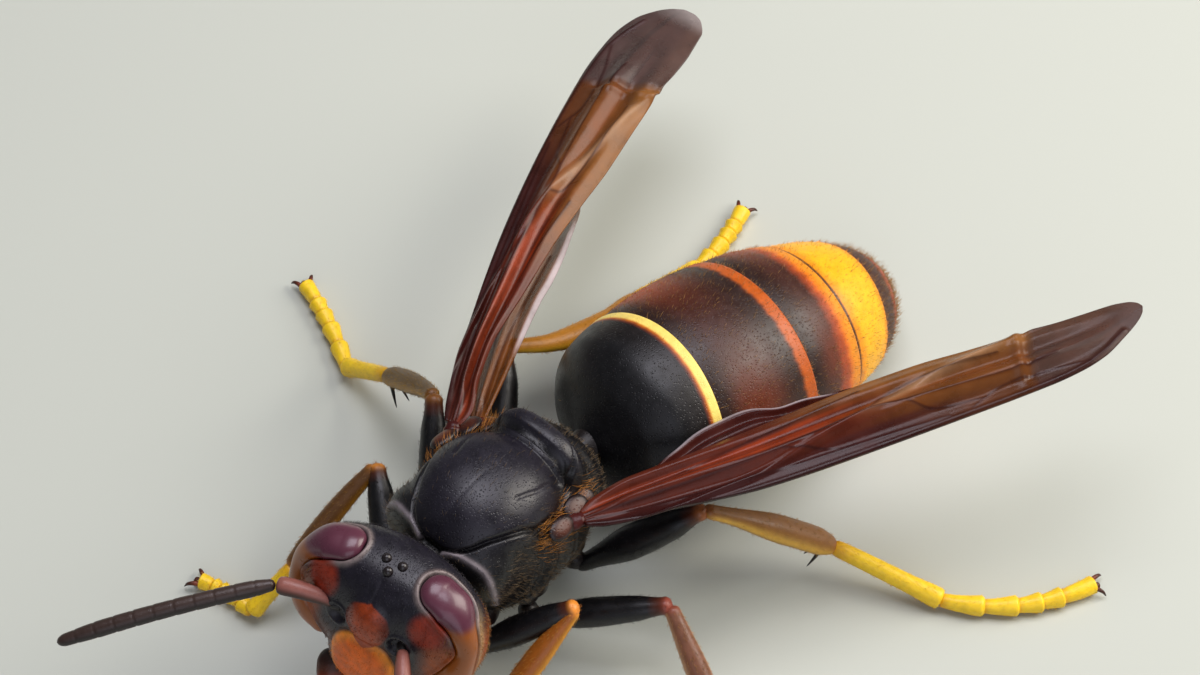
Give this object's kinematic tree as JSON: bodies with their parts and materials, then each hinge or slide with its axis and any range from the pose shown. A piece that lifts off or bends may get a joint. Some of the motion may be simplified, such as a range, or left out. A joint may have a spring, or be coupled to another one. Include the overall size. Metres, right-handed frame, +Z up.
{
  "type": "asian hornet model",
  "caption": "Life-size still model of an Asian hornet standing on six feet, wings half spread, with segmented gaster, kidney eyes, feelers and jaws.",
  "frame": {"origin": "centre of the bounding box at the floor that the six feet stand on", "axes": "+X to the hornet's left, -Y ahead of its face, +Z up"},
  "size_m": [0.0296, 0.0338, 0.0082],
  "materials": {
    "black_shell": "satin black chitin with fine pile",
    "gaster_shell": "brown-black chitin with yellow and orange bands",
    "head_shell": "black crown and orange face",
    "eye_lens": "glossy dark red-brown",
    "jaw_shell": "orange-brown with dark teeth",
    "antenna_shell": "dark brown above, rust below",
    "wing_membrane": "smoky amber membrane with dark veins",
    "shin_shell": "brown with yellow edges",
    "yellow_shell": "bright yellow"
  },
  "bodies": {
    "root": {"antenna_flagellum_left": "antenna_shell", "antenna_flagellum_right": "antenna_shell", "antenna_scape_left": "antenna_shell", "antenna_scape_right": "antenna_shell", "eye_left": "eye_lens", "eye_right": "eye_lens", "forewing_left": "wing_membrane", "forewing_right": "wing_membrane", "front_left_femur": "black_shell", "front_left_tarsus": "yellow_shell", "front_left_tibia": "shin_shell", "front_right_femur": "black_shell", "front_right_tarsus": "yellow_shell", "front_right_tibia": "shin_shell", "gaster": "gaster_shell", "head": "head_shell", "hind_left_femur": "black_shell", "hind_left_tarsus": "yellow_shell", "hind_left_tibia": "shin_shell", "hind_right_femur": "black_shell", "hind_right_tarsus": "yellow_shell", "hind_right_tibia": "shin_shell", "hindwing_left": "wing_membrane", "hindwing_right": "wing_membrane", "mandible_left": "jaw_shell", "mandible_right": "jaw_shell", "mid_left_femur": "black_shell", "mid_left_tarsus": "yellow_shell", "mid_left_tibia": "shin_shell", "mid_right_femur": "black_shell", "mid_right_tarsus": "yellow_shell", "mid_right_tibia": "shin_shell", "thorax": "black_shell"}
  },
  "joints": []
}
